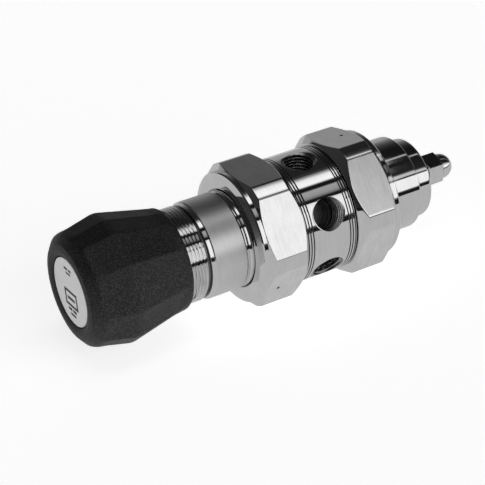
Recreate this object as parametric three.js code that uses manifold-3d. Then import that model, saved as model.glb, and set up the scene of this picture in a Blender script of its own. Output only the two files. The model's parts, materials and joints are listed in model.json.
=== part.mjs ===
// Two-stage gas pressure regulator for panel mounting, with a hand knob on the second stage.
// Millimetres. +X runs along the regulator from the knob to the acorn nut, and +Z is up.
// A clock angle is measured about X from +Z towards -Y. The part lies on one edge of each cap nut.
// Lengths below that are called "reach" are measured along X from the body's mid-plane, and both stages share them.
import * as THREE from "three";
import { mergeVertices } from "three/addons/utils/BufferGeometryUtils.js";
import Module from "manifold-3d";

const wasm = await Module();
wasm.setup();

// ---------------------------------------------------------------- driving dimensions

const TOUCH_GAP = 0.3; // between two pieces that seat on each other
const EDGE = 0.6; // the chamfer on small turned pieces
const INCH = 25.4;

const bodyRadius = 25.4;
const nutEndReach = 11.8; // where each cap nut ends beside the body's exposed band
const bodyFaceReach = 23.6; // the two faces that carry the diaphragms
const bodyThreadDepth = 2.9; // from the body's outside in to the cap nuts' thread

const portClock = 8.2; // the high-pressure gauge port
const portPitch = 60;
const portCount = 4;
const portMouthRadius = 6.85; // 1/4 in pipe thread
const portFloorRadius = 5.7;
const portDepth = 12.6;
const portCountersink = 0.4;
const passageRadius = 1.1;
const passageWall = 0.4; // least metal beside a passage
const filterThickness = 1.6;

const nutWall = 4.05; // from a cap nut's bore out to the middle of a flat
const nutLandRise = 2.55; // from the middle of a flat out to the round land at the corners
const nutTwist = 4.65; // each nut is turned by this from lying level, in opposite directions
const nutVentRadius = 0.55;
const nutRimWall = { second: 3.7, first: 3.2 }; // at the end beside the body's exposed band
const nutRimChamfer = { second: 2.4, first: 3.2 };
const nutHubWall = { second: 3.9, first: 3.5 };
const nutFaceThickness = { second: 3.6, first: 3.55 };
const nutBoreClearance = 0.4; // between a nut's face and its bonnet
// Stations from the corner land to the nut's face: how far behind the face, and how far outside the hub.
const firstNutShoulder = [[3.1, 0.4], [2.65, 0], [0.65, 0], [0, -0.6]];
const secondNutShoulder = [[2.9, 0], [1.3, 0], [0.8, -0.5], [0, -3.3]];
const nutLandEnd = { second: 4.35, first: 5.05 }; // where the corner land ends, behind the face
const secondNutFaceDish = 0.3; // how deep the face is hollowed beside the bonnet
const secondNutFaceLip = 0.38;

const diaphragmThickness = 0.3;
const diaphragmMargin = 2; // from a diaphragm's edge out to the body's thread
const chamberMargin = 6;
const chamberDepth = 1.2;
const valveLift = 0.4;

const bonnetFlangeThickness = 3.7;
const bonnetFlangeClearance = 0.1;
const bonnetFlangeStep = { second: 2.78, first: 3.1 }; // from the flange in to the bonnet's cylinder
const secondBonnetCylinderLength = 16.1; // in front of the cap nut's face
const secondBonnetReliefLength = 3.6; // the chamfer and the groove behind the panel thread
const secondBonnetChamferLength = 1.6;
const secondBonnetReliefDepth = 1.1;
const panelThreadLength = 14.2;
const panelThreadStep = 0.57; // brings the thread to 1 1/2 in, 18 threads to the inch
const panelThreadWall = 3.25;
const secondBonnetEndWall = 8;
const firstBonnetWall = 3.8;
const firstBonnetCylinderLength = 15;
const firstBonnetNoseLength = 7.35;
const firstBonnetNoseStep = 2.7;
const firstBonnetNoseWall = 4;
const firstBonnetNoseBoreDepth = 3.05; // how far the narrow bore runs back from the step
const firstBonnetEndWall = 3.8;
// The nose's rounded end: how far behind the end, and how far inside the nose's outside.
const firstBonnetRounding = [[1.4, 0], [0.4, 0.5], [0, 1.5]];

const stemRadius = 4.45;
const stemThreadBore = 4.76;
const stemPitch = INCH / 24;
const knobTurns = 6;
const stemTipDepth = 0.5; // how far the screw's tip stands out of the bonnet's end wall

const knobLength = 42.5;
const knobFlareLength = 25.3; // from the knob's rear to its widest place
const knobGrip = 6.85; // from the panel thread's outside out to the knob's
const knobRearGap = 0.65; // left in front of the relief groove when the knob is turned all the way in
const knobCavityClearance = 0.4;
const knobRearWall = 0.85;
const knobCavityEndGap = 0.9;
// The knob's sides in front of its widest place: how far behind the front, and how far inside the widest.
const knobCrown = [[10.2, 1.4], [2.7, 3.3], [1.2, 5.7], [0.25, 7.7], [0, 9.4]];
const knobLobes = 5;
const knobScoopArc = 30.7; // the wide hollow face of each lobe
const knobScoopClock = 39.65; // the middle of one wide face
const knobFaceFlatness = 0.8; // 0 leaves the faces round, and 1 makes them flat
const knobFaceFade = { front: [2.2, 7], rear: [0.5, 8] }; // where the faces fade out at each end
const labelMargin = 2.7; // from the knob's front rim in to the label
const labelThickness = 0.8;
const labelSink = 0.8;
const insertRadius = 8;
const insertGap = 1.5;
const knobScrewHeadRadius = 4.5;
const knobScrewHeadHeight = 2.6;
const knobScrewHeadRoom = 1.45;
const knobScrewSocketRadius = 1.8;
const knobScrewSocketDepth = 1.4;
const knobScrewRadius = 2.2;
const knobScrewLength = 11;
const thrustBallRadius = 2.38;

const rangeWire = { second: 2.4, first: 2.6 };
const rangePitch = { second: 5.3, first: 4 };
const rangeCoilClearance = { second: 3, first: 1 };
const plateClearance = 2.3;
const plateThickness = 2.7;
const plateBossClearance = 1.2;
const plateBossHeight = 2.2;
const buttonThickness = 2.5;
const buttonBossHeight = 2.4;
const buttonHubHeight = 0.8;
const buttonHubWall = 2;

const seatPocketRadius = 8;
const seatPocketDepth = 6.7;
const seatThickness = 1.8;
const seatBore = 1.7;
const retainerSink = 0.2;
const retainerBore = 2.2;
const retainerNoseRadius = 5.8;
const retainerNoseLength = 1.4;
const sealRingSection = 0.65;
const valveBoreRadius = 5.5;
const valveBoreFloorReach = 1.5;
const poppetRadius = 5.2;
const poppetStemRadius = 1.1;
const poppetHeadRadius = 3.12;
const poppetHeadLength = 1.8;
const poppetBodyLength = 5;
const poppetTailRadius = 1.8;
const poppetTailLength = 4;
const poppetWire = 0.7;
const poppetPitch = 1.4;
const poppetCoilRadius = 3.4;

const presetScrewRadius = 3.9; // 5/16 in
const acornAcrossFlats = 12.7; // 1/2 in
const acornClock = 59.4;
const acornDomeRadius = 5.3;
const acornHexLength = 7.3;
const acornLength = 14.6;
const acornScrewReserve = 2.4; // how far the screw runs past the acorn nut's hexagon
const jamNutThickness = 4.4;
const sealWasherThickness = 1;
const sealWasherMargin = 3; // from the screw's hole out to the washer's edge

const ROUND = 40; // facets of a large turned piece
const SMALL = 20; // facets of a small one
const DEGREE = Math.PI / 180;

// ---------------------------------------------------------------- sizes worked out from them

const SECOND = -1; // the knob side
const FIRST = 1; // the acorn side

const bodyThreadRadius = bodyRadius - bodyThreadDepth;
const diaphragmRadius = bodyThreadRadius - diaphragmMargin;
const chamberRadius = bodyThreadRadius - chamberMargin;
const portSpread = (portFloorRadius + passageWall) / Math.tan((portPitch / 2) * DEGREE);
const portFloorFromAxis = Math.max(bodyRadius - portDepth, portSpread); // keeps the ports apart
const outletPassageFromAxis = chamberRadius - passageRadius - passageWall;
const interstagePassageFromAxis = (seatPocketRadius + chamberRadius) / 2;
const interstagePassageClock = portClock + (portCount - 0.5) * portPitch;

const diaphragmReach = bodyFaceReach + TOUCH_GAP;
const flangeFaceReach = diaphragmReach + diaphragmThickness + TOUCH_GAP;
const flangeBackReach = flangeFaceReach + bonnetFlangeThickness;
const liftGap = valveLift + 0.1; // left on each side of a diaphragm so that the valve can lift
const plateFaceReach = diaphragmReach + diaphragmThickness + liftGap;
const plateBackReach = plateFaceReach + plateThickness;

const bonnetFlangeRadius = bodyThreadRadius - bonnetFlangeClearance;
const nutBore = Math.max(bodyThreadRadius, bonnetFlangeRadius) + TOUCH_GAP;
const nutAcrossFlats = 2 * (nutBore + nutWall);
const nutLandRadius = nutAcrossFlats / 2 + nutLandRise;
const nutShoulderReach = flangeBackReach + TOUCH_GAP;
const secondNutFaceReach = nutShoulderReach + nutFaceThickness.second;
const firstNutFaceReach = nutShoulderReach + nutFaceThickness.first;

const secondBonnetRadius = bonnetFlangeRadius - bonnetFlangeStep.second;
const panelThreadRadius = secondBonnetRadius - panelThreadStep;
const secondBonnetBore = panelThreadRadius - panelThreadWall;
const secondBonnetCylinderReach = secondNutFaceReach + secondBonnetCylinderLength;
const secondBonnetReliefReach = secondBonnetCylinderReach + secondBonnetReliefLength;
const secondBonnetEndReach = secondBonnetReliefReach + panelThreadLength;
const secondBonnetWallReach = secondBonnetEndReach - secondBonnetEndWall;

const firstBonnetRadius = bonnetFlangeRadius - bonnetFlangeStep.first;
const firstBonnetBore = firstBonnetRadius - firstBonnetWall;
const firstBonnetNoseRadius = firstBonnetRadius - firstBonnetNoseStep;
const firstBonnetNoseBore = firstBonnetNoseRadius - firstBonnetNoseWall;
const firstBonnetStepReach = firstNutFaceReach + firstBonnetCylinderLength;
const firstBonnetNoseBoreReach = firstBonnetStepReach - firstBonnetNoseBoreDepth;
const firstBonnetEndReach = firstBonnetStepReach + firstBonnetNoseLength;
const firstBonnetWallReach = firstBonnetEndReach - firstBonnetEndWall;

const stemTravel = stemPitch * knobTurns;
const stemTipReach = secondBonnetWallReach - stemTipDepth;
const ballReach = stemTipReach - TOUCH_GAP - thrustBallRadius;
const secondButtonBackReach = ballReach - thrustBallRadius * 0.3;
const secondButtonFaceReach = secondButtonBackReach - buttonThickness;
const secondButtonRadius = secondBonnetBore - TOUCH_GAP;

const knobRearReach = secondBonnetReliefReach + stemTravel + knobRearGap;
const knobWidestReach = knobRearReach + knobFlareLength;
const knobFrontReach = knobRearReach + knobLength;
const knobRadius = panelThreadRadius + knobGrip;
const knobCavityRadius = panelThreadRadius + knobCavityClearance;
const knobRearRadius = knobCavityRadius + knobRearWall;
const knobCavityReach = secondBonnetEndReach + stemTravel + knobCavityEndGap;
const labelRadius = knobRadius - knobCrown.at(-1)[1] - labelMargin;
const labelReach = knobFrontReach - labelSink;
const labelFloorReach = labelReach - labelThickness - TOUCH_GAP;
const insertRearReach = knobCavityReach + insertGap;
const insertFrontReach = labelFloorReach - knobScrewHeadRoom - knobScrewHeadHeight - 2 * TOUCH_GAP;
const screwHeadRearReach = insertFrontReach + TOUCH_GAP;

const presetScrewHole = presetScrewRadius + TOUCH_GAP;
const presetScrewTipReach = firstBonnetWallReach - 1;
const firstButtonRadius = firstBonnetNoseBore - TOUCH_GAP;
const firstButtonBackReach = presetScrewTipReach - TOUCH_GAP - buttonHubHeight;
const firstButtonFaceReach = firstButtonBackReach - buttonThickness;
const sealWasherReach = firstBonnetEndReach + TOUCH_GAP;
const sealWasherRadius = presetScrewHole + sealWasherMargin;
const jamNutReach = sealWasherReach + sealWasherThickness + TOUCH_GAP;
const acornReach = jamNutReach + jamNutThickness + TOUCH_GAP;
const acornEndReach = acornReach + acornLength;
const presetScrewEndReach = acornReach + acornHexLength + acornScrewReserve;

const rangeCoilRadius = {
  second: secondBonnetBore - rangeWire.second / 2 - rangeCoilClearance.second,
  first: firstBonnetNoseBore - rangeWire.first / 2 - rangeCoilClearance.first,
};
const plateRadius = Math.min(secondBonnetBore, firstBonnetBore) - plateClearance;
const plateBossRadius = rangeCoilRadius.first - rangeWire.first / 2 - plateBossClearance;

const seatPocketFloorReach = bodyFaceReach - seatPocketDepth;
const seatReach = seatPocketFloorReach + TOUCH_GAP;
const retainerNoseReach = seatReach + seatThickness + TOUCH_GAP;
const retainerFaceReach = bodyFaceReach - chamberDepth - retainerSink;
const poppetHeadReach = seatPocketFloorReach - 0.1;
const poppetBodyReach = poppetHeadReach - poppetHeadLength;
const poppetTailReach = poppetBodyReach - poppetBodyLength;
const poppetStemEndReach = diaphragmReach - liftGap;
const poppetSpringFloorReach = valveBoreFloorReach + TOUCH_GAP;
const poppetSpringSeatReach = poppetTailReach - TOUCH_GAP;

const originShift = (knobFrontReach - acornEndReach) / 2; // puts the origin at mid-length

// ---------------------------------------------------------------- shapes

// A solid of revolution about X. Its outline holds [reach, radius] points, which close on
// themselves or start and end on the axis; side mirrors it to the stage that it belongs to.
function turned(outline, side = FIRST, facets = SMALL) {
  const points = outline.map(([reach, radius]) => new THREE.Vector2(radius, side * reach));
  if (outline[0][1] > 0) points.push(points[0].clone());
  if (THREE.ShapeUtils.area(points) < 0) points.reverse();
  const geometry = new THREE.LatheGeometry(points, facets);
  geometry.rotateZ(-Math.PI / 2);
  return geometry;
}

// A plain ring or disc between two reaches.
function ring(from, to, innerRadius, outerRadius, side, facets) {
  const corners =
    innerRadius > 0
      ? [[from, innerRadius], [from, outerRadius], [to, outerRadius], [to, innerRadius]]
      : [[from, 0], [from, outerRadius], [to, outerRadius], [to, 0]];
  return turned(corners, side, facets);
}

// A prism with flats, along X, with one corner at the clock angle.
function hexPrism(from, to, acrossFlats, clock, side) {
  const cornerRadius = acrossFlats / 2 / Math.cos(30 * DEGREE);
  const geometry = new THREE.CylinderGeometry(cornerRadius, cornerRadius, to - from, 6);
  geometry.rotateZ(-Math.PI / 2);
  geometry.rotateX(clock * DEGREE);
  geometry.translate((side * (from + to)) / 2, 0, 0);
  return geometry;
}

// A round cutter that points away from the axis at a clock angle, between two distances from it.
function radialCutter(x, clock, near, far, nearRadius, farRadius, facets = 8) {
  const geometry = new THREE.CylinderGeometry(farRadius, nearRadius, far - near, facets);
  geometry.rotateX(Math.PI / 2);
  geometry.translate(0, 0, (near + far) / 2);
  geometry.rotateX(clock * DEGREE);
  geometry.translate(x, 0, 0);
  return geometry;
}

// A round cutter that runs along X at a distance from the axis.
function axialCutter(fromX, toX, distance, clock, radius) {
  const geometry = new THREE.CylinderGeometry(radius, radius, toX - fromX, 8);
  geometry.rotateZ(-Math.PI / 2);
  geometry.translate((fromX + toX) / 2, 0, distance);
  geometry.rotateX(clock * DEGREE);
  return geometry;
}

// The wire of a compression spring about X, with one closed turn at each end.
class CoilCurve extends THREE.Curve {
  constructor(from, to, radius, wire, pitch) {
    super();
    this.from = from + wire / 2;
    this.to = to - wire / 2;
    this.radius = radius;
    this.closedRise = wire * 1.1;
    this.activeLength = this.to - this.from - 2 * this.closedRise;
    this.turns = this.activeLength / pitch + 2;
  }

  getPoint(t, target = new THREE.Vector3()) {
    const turn = t * this.turns;
    const activeRise = this.activeLength / (this.turns - 2);
    const closedAtStart = Math.min(turn, 1);
    const active = Math.min(Math.max(turn - 1, 0), this.turns - 2);
    const closedAtEnd = Math.max(turn - this.turns + 1, 0);
    const x = this.from + this.closedRise * (closedAtStart + closedAtEnd) + activeRise * active;
    const angle = 2 * Math.PI * turn;
    return target.set(x, -this.radius * Math.sin(angle), this.radius * Math.cos(angle));
  }
}

function coil(side, near, far, radius, wire, pitch, stepsPerTurn) {
  const [fromX, toX] = side === SECOND ? [-far, -near] : [near, far];
  const sides = 6;
  const section = new THREE.Shape();
  for (let i = 0; i < sides; i += 1) {
    const angle = (2 * Math.PI * i) / sides;
    const x = (wire / 2) * Math.cos(angle);
    const y = (wire / 2) * Math.sin(angle);
    if (i === 0) section.moveTo(x, y);
    else section.lineTo(x, y);
  }
  const curve = new CoilCurve(fromX, toX, radius, wire, pitch);
  const steps = Math.round(curve.turns * stepsPerTurn);
  return new THREE.ExtrudeGeometry(section, { steps, extrudePath: curve, bevelEnabled: false });
}

// ---------------------------------------------------------------- joining and cutting

function solidFrom(geometry) {
  const bare = geometry.clone();
  bare.deleteAttribute("normal");
  bare.deleteAttribute("uv");
  const merged = mergeVertices(bare, 1e-4);
  return new wasm.Manifold(
    new wasm.Mesh({
      numProp: 3,
      vertProperties: merged.attributes.position.array,
      triVerts: new Uint32Array(merged.index.array),
    }),
  );
}

function geometryFrom(solid) {
  const mesh = solid.getMesh();
  const geometry = new THREE.BufferGeometry();
  geometry.setAttribute("position", new THREE.BufferAttribute(mesh.vertProperties, 3));
  geometry.setIndex(new THREE.BufferAttribute(mesh.triVerts, 1));
  geometry.computeVertexNormals();
  return geometry;
}

function cut(geometry, cutters) {
  let solid = solidFrom(geometry);
  for (const cutter of cutters) solid = solid.subtract(solidFrom(cutter));
  return geometryFrom(solid);
}

function intersected(geometry, other) {
  return geometryFrom(solidFrom(geometry).intersect(solidFrom(other)));
}

// ---------------------------------------------------------------- materials

function material(color, roughness, metalness) {
  return new THREE.MeshStandardMaterial({ color, roughness, metalness });
}

const polishedSteel = material(0xc9cacc, 0.12, 1);
const brushedSteel = material(0xbfc0c2, 0.35, 1);
const springSteel = material(0x8d9094, 0.3, 1);
const blackPlastic = material(0x1c1c1e, 0.45, 0);
const silverLabel = material(0xe2e3e4, 0.35, 0.6);
const brass = material(0xb8974f, 0.3, 1);
const seatPolymer = material(0xd8cfae, 0.5, 0);
const blackRubber = material(0x141414, 0.7, 0);
const sinteredSteel = material(0x9b9a96, 0.8, 1);

const regulator = new THREE.Group();

function add(name, geometry, look) {
  const mesh = new THREE.Mesh(geometry, look);
  mesh.name = name;
  mesh.position.x = originShift;
  regulator.add(mesh);
}

// ---------------------------------------------------------------- body

function portClocks() {
  const clocks = [];
  for (let i = 0; i < portCount; i += 1) clocks.push(portClock + (i - 1) * portPitch);
  return clocks;
}

function valveChamberCutters(side) {
  return [
    ring(bodyFaceReach - chamberDepth, bodyFaceReach + 1, 0, chamberRadius, side, ROUND),
    ring(seatPocketFloorReach, bodyFaceReach, 0, seatPocketRadius, side),
    ring(valveBoreFloorReach, seatPocketFloorReach + 1, 0, valveBoreRadius, side),
  ];
}

function bodyGeometry() {
  const blank = turned(
    [
      [-bodyFaceReach, 0],
      [-bodyFaceReach, bodyThreadRadius],
      [-(nutEndReach - TOUCH_GAP), bodyThreadRadius],
      [-(nutEndReach - TOUCH_GAP), bodyRadius],
      [nutEndReach - TOUCH_GAP, bodyRadius],
      [nutEndReach - TOUCH_GAP, bodyThreadRadius],
      [bodyFaceReach, bodyThreadRadius],
      [bodyFaceReach, 0],
    ],
    FIRST,
    ROUND,
  );
  const cutters = [...valveChamberCutters(SECOND), ...valveChamberCutters(FIRST)];
  const [inlet, highGauge, lowGauge, outlet] = portClocks();
  for (const clock of portClocks()) {
    const mouth = portMouthRadius + portCountersink;
    const past = bodyRadius + 1;
    cutters.push(
      radialCutter(0, clock, portFloorFromAxis, past, portFloorRadius, portMouthRadius, SMALL),
      radialCutter(0, clock, bodyRadius - 2 * portCountersink, past, portMouthRadius, mouth + 1, SMALL),
    );
  }
  for (const clock of [inlet, highGauge]) {
    const x = valveBoreFloorReach + passageRadius + passageWall;
    const near = valveBoreRadius - 1;
    cutters.push(
      radialCutter(x, clock, near, portFloorFromAxis + 1, passageRadius, passageRadius),
    );
  }
  for (const clock of [lowGauge, outlet]) {
    cutters.push(
      axialCutter(-bodyFaceReach, -2, outletPassageFromAxis, clock, passageRadius),
    );
  }
  const crossX = -poppetTailReach;
  cutters.push(
    axialCutter(
      crossX - passageRadius,
      bodyFaceReach,
      interstagePassageFromAxis,
      interstagePassageClock,
      passageRadius,
    ),
    radialCutter(
      crossX,
      interstagePassageClock,
      valveBoreRadius - 1,
      interstagePassageFromAxis,
      passageRadius,
      passageRadius,
    ),
  );
  return cut(blank, cutters);
}

add("body", bodyGeometry(), polishedSteel);

function inletFilterGeometry() {
  const near = portFloorFromAxis + TOUCH_GAP;
  const radius = portFloorRadius - TOUCH_GAP;
  return radialCutter(0, portClock - portPitch, near, near + filterThickness, radius, radius, SMALL);
}

add("inlet_filter", inletFilterGeometry(), sinteredSteel);

// ---------------------------------------------------------------- cap nuts

function capNutGeometry(side, clock, outerOutline, faceReach, faceBore) {
  const outline = [
    [nutEndReach, nutBore],
    ...outerOutline,
    [faceReach, faceBore],
    [nutShoulderReach, faceBore],
    [nutShoulderReach, nutBore],
  ];
  const blank = turned(outline, side, ROUND);
  const flats = hexPrism(nutEndReach - 1, faceReach + 1, nutAcrossFlats, clock, side);
  const ventX = side * (diaphragmReach + diaphragmThickness / 2);
  const ventClock = side === SECOND ? clock + 90 : clock - 30;
  const vent = radialCutter(ventX, ventClock, nutBore - 1, nutLandRadius, nutVentRadius, nutVentRadius);
  return cut(intersected(blank, flats), [vent]);
}

// From the rim beside the body's exposed band, over the corners' land, to the hub and the face.
function nutOutline(stage, faceReach, shoulder) {
  const hubRadius = nutBore + nutHubWall[stage];
  const outline = [
    [nutEndReach, nutBore + nutRimWall[stage]],
    [nutEndReach + nutRimChamfer[stage], nutLandRadius],
    [faceReach - nutLandEnd[stage], nutLandRadius],
  ];
  for (const [behind, outside] of shoulder) outline.push([faceReach - behind, hubRadius + outside]);
  return outline;
}

const secondNutBore = secondBonnetRadius + nutBoreClearance;
const secondNutFace = [...nutOutline("second", secondNutFaceReach, secondNutShoulder)];
secondNutFace.push([secondNutFaceReach, secondNutBore + secondNutFaceLip]);

add(
  "second_stage_cap_nut",
  capNutGeometry(
    SECOND,
    30 + nutTwist,
    secondNutFace,
    secondNutFaceReach - secondNutFaceDish,
    secondNutBore,
  ),
  brushedSteel,
);

add(
  "first_stage_cap_nut",
  capNutGeometry(
    FIRST,
    30 - nutTwist,
    nutOutline("first", firstNutFaceReach, firstNutShoulder),
    firstNutFaceReach,
    firstBonnetRadius + nutBoreClearance,
  ),
  brushedSteel,
);

// ---------------------------------------------------------------- bonnets

const secondBonnetReliefRadius = panelThreadRadius - secondBonnetReliefDepth;
const secondBonnetOutline = [
  [flangeFaceReach, secondBonnetBore],
  [flangeFaceReach, bonnetFlangeRadius],
  [flangeBackReach, bonnetFlangeRadius],
  [flangeBackReach, secondBonnetRadius],
  [secondBonnetCylinderReach, secondBonnetRadius],
  [secondBonnetCylinderReach + secondBonnetChamferLength, panelThreadRadius - TOUCH_GAP],
  [secondBonnetCylinderReach + secondBonnetChamferLength, secondBonnetReliefRadius],
  [secondBonnetReliefReach, secondBonnetReliefRadius],
  [secondBonnetReliefReach, panelThreadRadius],
  [secondBonnetEndReach - EDGE, panelThreadRadius],
  [secondBonnetEndReach, panelThreadRadius - EDGE],
  [secondBonnetEndReach, stemThreadBore],
  [secondBonnetWallReach, stemThreadBore],
  [secondBonnetWallReach, secondBonnetBore],
];

add("second_stage_bonnet", turned(secondBonnetOutline, SECOND, ROUND), polishedSteel);

const firstBonnetOutline = [
  [flangeFaceReach, firstBonnetBore],
  [flangeFaceReach, bonnetFlangeRadius],
  [flangeBackReach, bonnetFlangeRadius],
  [flangeBackReach, firstBonnetRadius],
  [firstBonnetStepReach - EDGE, firstBonnetRadius],
  [firstBonnetStepReach, firstBonnetRadius - EDGE],
  [firstBonnetStepReach, firstBonnetNoseRadius],
  ...firstBonnetRounding.map(([behind, inside]) => [
    firstBonnetEndReach - behind,
    firstBonnetNoseRadius - inside,
  ]),
  [firstBonnetEndReach, presetScrewHole],
  [firstBonnetWallReach, presetScrewHole],
  [firstBonnetWallReach, firstBonnetNoseBore],
  [firstBonnetNoseBoreReach, firstBonnetNoseBore],
  [firstBonnetNoseBoreReach, firstBonnetBore],
];

add("first_stage_bonnet", turned(firstBonnetOutline, FIRST, ROUND), polishedSteel);

// ---------------------------------------------------------------- pressure-sensing pieces, alike in both stages

function addSensingPieces(prefix, side) {
  add(
    prefix + "_diaphragm",
    ring(diaphragmReach, diaphragmReach + diaphragmThickness, 0, diaphragmRadius, side, ROUND),
    springSteel,
  );
  const plateOutline = [
    [plateFaceReach, 0],
    [plateFaceReach, plateRadius - EDGE],
    [plateFaceReach + EDGE, plateRadius],
    [plateBackReach, plateRadius],
    [plateBackReach, plateBossRadius],
    [plateBackReach + plateBossHeight, plateBossRadius - EDGE],
    [plateBackReach + plateBossHeight, 0],
  ];
  add(prefix + "_diaphragm_plate", turned(plateOutline, side), brushedSteel);
}

addSensingPieces("second_stage", SECOND);
addSensingPieces("first_stage", FIRST);

// ---------------------------------------------------------------- range springs and their buttons

// A disc with a boss inside the spring, and a pocket at its back for the ball or the screw.
function springButtonGeometry(stage, side, faceReach, radius, pocketRadius, pocketFloor) {
  const bossRadius = rangeCoilRadius[stage] - rangeWire[stage] / 2 - TOUCH_GAP;
  const backReach = faceReach + buttonThickness;
  const outline = [
    [faceReach - buttonBossHeight, 0],
    [faceReach - buttonBossHeight, bossRadius - EDGE],
    [faceReach, bossRadius],
    [faceReach, radius],
    [backReach, radius],
    [backReach + buttonHubHeight, pocketRadius + buttonHubWall],
    [backReach + buttonHubHeight, pocketRadius],
    [pocketFloor, pocketRadius],
    [pocketFloor, 0],
  ];
  return turned(outline, side);
}

add(
  "second_stage_spring_button",
  springButtonGeometry(
    "second",
    SECOND,
    secondButtonFaceReach,
    secondButtonRadius,
    thrustBallRadius + TOUCH_GAP,
    ballReach - thrustBallRadius - TOUCH_GAP,
  ),
  brushedSteel,
);

add(
  "first_stage_spring_button",
  springButtonGeometry(
    "first",
    FIRST,
    firstButtonFaceReach,
    firstButtonRadius,
    presetScrewRadius + TOUCH_GAP,
    presetScrewTipReach - TOUCH_GAP,
  ),
  brushedSteel,
);

function rangeSpringGeometry(stage, side, buttonFaceReach) {
  const near = plateBackReach + TOUCH_GAP;
  const far = buttonFaceReach - TOUCH_GAP;
  return coil(side, near, far, rangeCoilRadius[stage], rangeWire[stage], rangePitch[stage], 12);
}

add(
  "second_stage_range_spring",
  rangeSpringGeometry("second", SECOND, secondButtonFaceReach),
  springSteel,
);
add(
  "first_stage_range_spring",
  rangeSpringGeometry("first", FIRST, firstButtonFaceReach),
  springSteel,
);

// ---------------------------------------------------------------- valves, alike in both stages

function poppetGeometry(side) {
  const stemAndHead = turned(
    [
      [poppetStemEndReach, 0],
      [poppetStemEndReach, poppetStemRadius],
      [poppetHeadReach, poppetStemRadius],
      [poppetBodyReach, poppetHeadRadius],
      [poppetBodyReach, poppetTailRadius],
      [poppetTailReach - poppetTailLength, poppetTailRadius],
      [poppetTailReach - poppetTailLength, 0],
    ],
    side,
    12,
  );
  const guide = hexPrism(
    poppetTailReach,
    poppetBodyReach,
    2 * poppetRadius * Math.cos(30 * DEGREE),
    0,
    side,
  );
  return geometryFrom(solidFrom(stemAndHead).add(solidFrom(guide)));
}

function addValve(prefix, side) {
  add(
    prefix + "_seat",
    ring(seatReach, seatReach + seatThickness, seatBore, seatPocketRadius - TOUCH_GAP, side),
    seatPolymer,
  );
  const retainerOutline = [
    [retainerNoseReach, retainerBore],
    [retainerNoseReach, retainerNoseRadius],
    [retainerNoseReach + retainerNoseLength, retainerNoseRadius],
    [retainerNoseReach + retainerNoseLength, seatPocketRadius - TOUCH_GAP],
    [retainerFaceReach, seatPocketRadius - TOUCH_GAP],
    [retainerFaceReach, retainerBore],
  ];
  add(prefix + "_seat_retainer", turned(retainerOutline, side), brass);
  const ringReach = retainerNoseReach + retainerNoseLength / 2;
  const ringRadius = (retainerNoseRadius + seatPocketRadius) / 2;
  const seal = new THREE.TorusGeometry(ringRadius, sealRingSection, 6, SMALL);
  seal.rotateY(Math.PI / 2);
  seal.translate(side * ringReach, 0, 0);
  add(prefix + "_seat_seal_ring", seal, blackRubber);
  add(prefix + "_poppet", poppetGeometry(side), polishedSteel);
  const springNear = poppetSpringFloorReach;
  const springFar = poppetSpringSeatReach;
  add(
    prefix + "_poppet_spring",
    coil(side, springNear, springFar, poppetCoilRadius, poppetWire, poppetPitch, 8),
    springSteel,
  );
}

addValve("second_stage", SECOND);
addValve("first_stage", FIRST);

// ---------------------------------------------------------------- hand knob and adjusting screw

// The knob's faces: one wide hollow face and two narrow flat ones to each lobe.
function knobFaceEdges() {
  const pitch = 360 / knobLobes;
  const narrow = (pitch - knobScoopArc) / 2;
  const edges = [];
  for (let lobe = 0; lobe < knobLobes; lobe += 1) {
    const start = knobScoopClock - knobScoopArc / 2 + lobe * pitch;
    edges.push(start, start + knobScoopArc, start + knobScoopArc + narrow);
  }
  return edges;
}

// How strongly the faces show at a distance along the knob: not at all at its rounded ends.
function knobFaceStrength(reach) {
  const front = THREE.MathUtils.smoothstep(knobFrontReach - reach, ...knobFaceFade.front);
  const rear = THREE.MathUtils.smoothstep(reach - knobRearReach, ...knobFaceFade.rear);
  return front * rear;
}

function knobOutline() {
  const outline = [
    [knobRearReach, knobCavityRadius],
    [knobRearReach, knobRearRadius - TOUCH_GAP],
  ];
  const flareSteps = 3;
  for (let i = 0; i <= flareSteps; i += 1) {
    const share = i / flareSteps;
    outline.push([
      knobRearReach + 1 + (knobFlareLength - 1) * share,
      knobRearRadius + (knobRadius - knobRearRadius) * share,
    ]);
  }
  for (const [behind, inside] of knobCrown) outline.push([knobFrontReach - behind, knobRadius - inside]);
  const screwWellRadius = knobScrewHeadRadius + 4 * TOUCH_GAP;
  outline.push(
    [knobFrontReach - EDGE, labelRadius + TOUCH_GAP],
    [labelFloorReach, labelRadius + TOUCH_GAP],
    [labelFloorReach, screwWellRadius],
    [screwHeadRearReach, screwWellRadius],
    [screwHeadRearReach, insertRadius + TOUCH_GAP],
    [knobCavityReach, insertRadius + TOUCH_GAP],
    [knobCavityReach, knobCavityRadius],
  );
  return outline;
}

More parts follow.
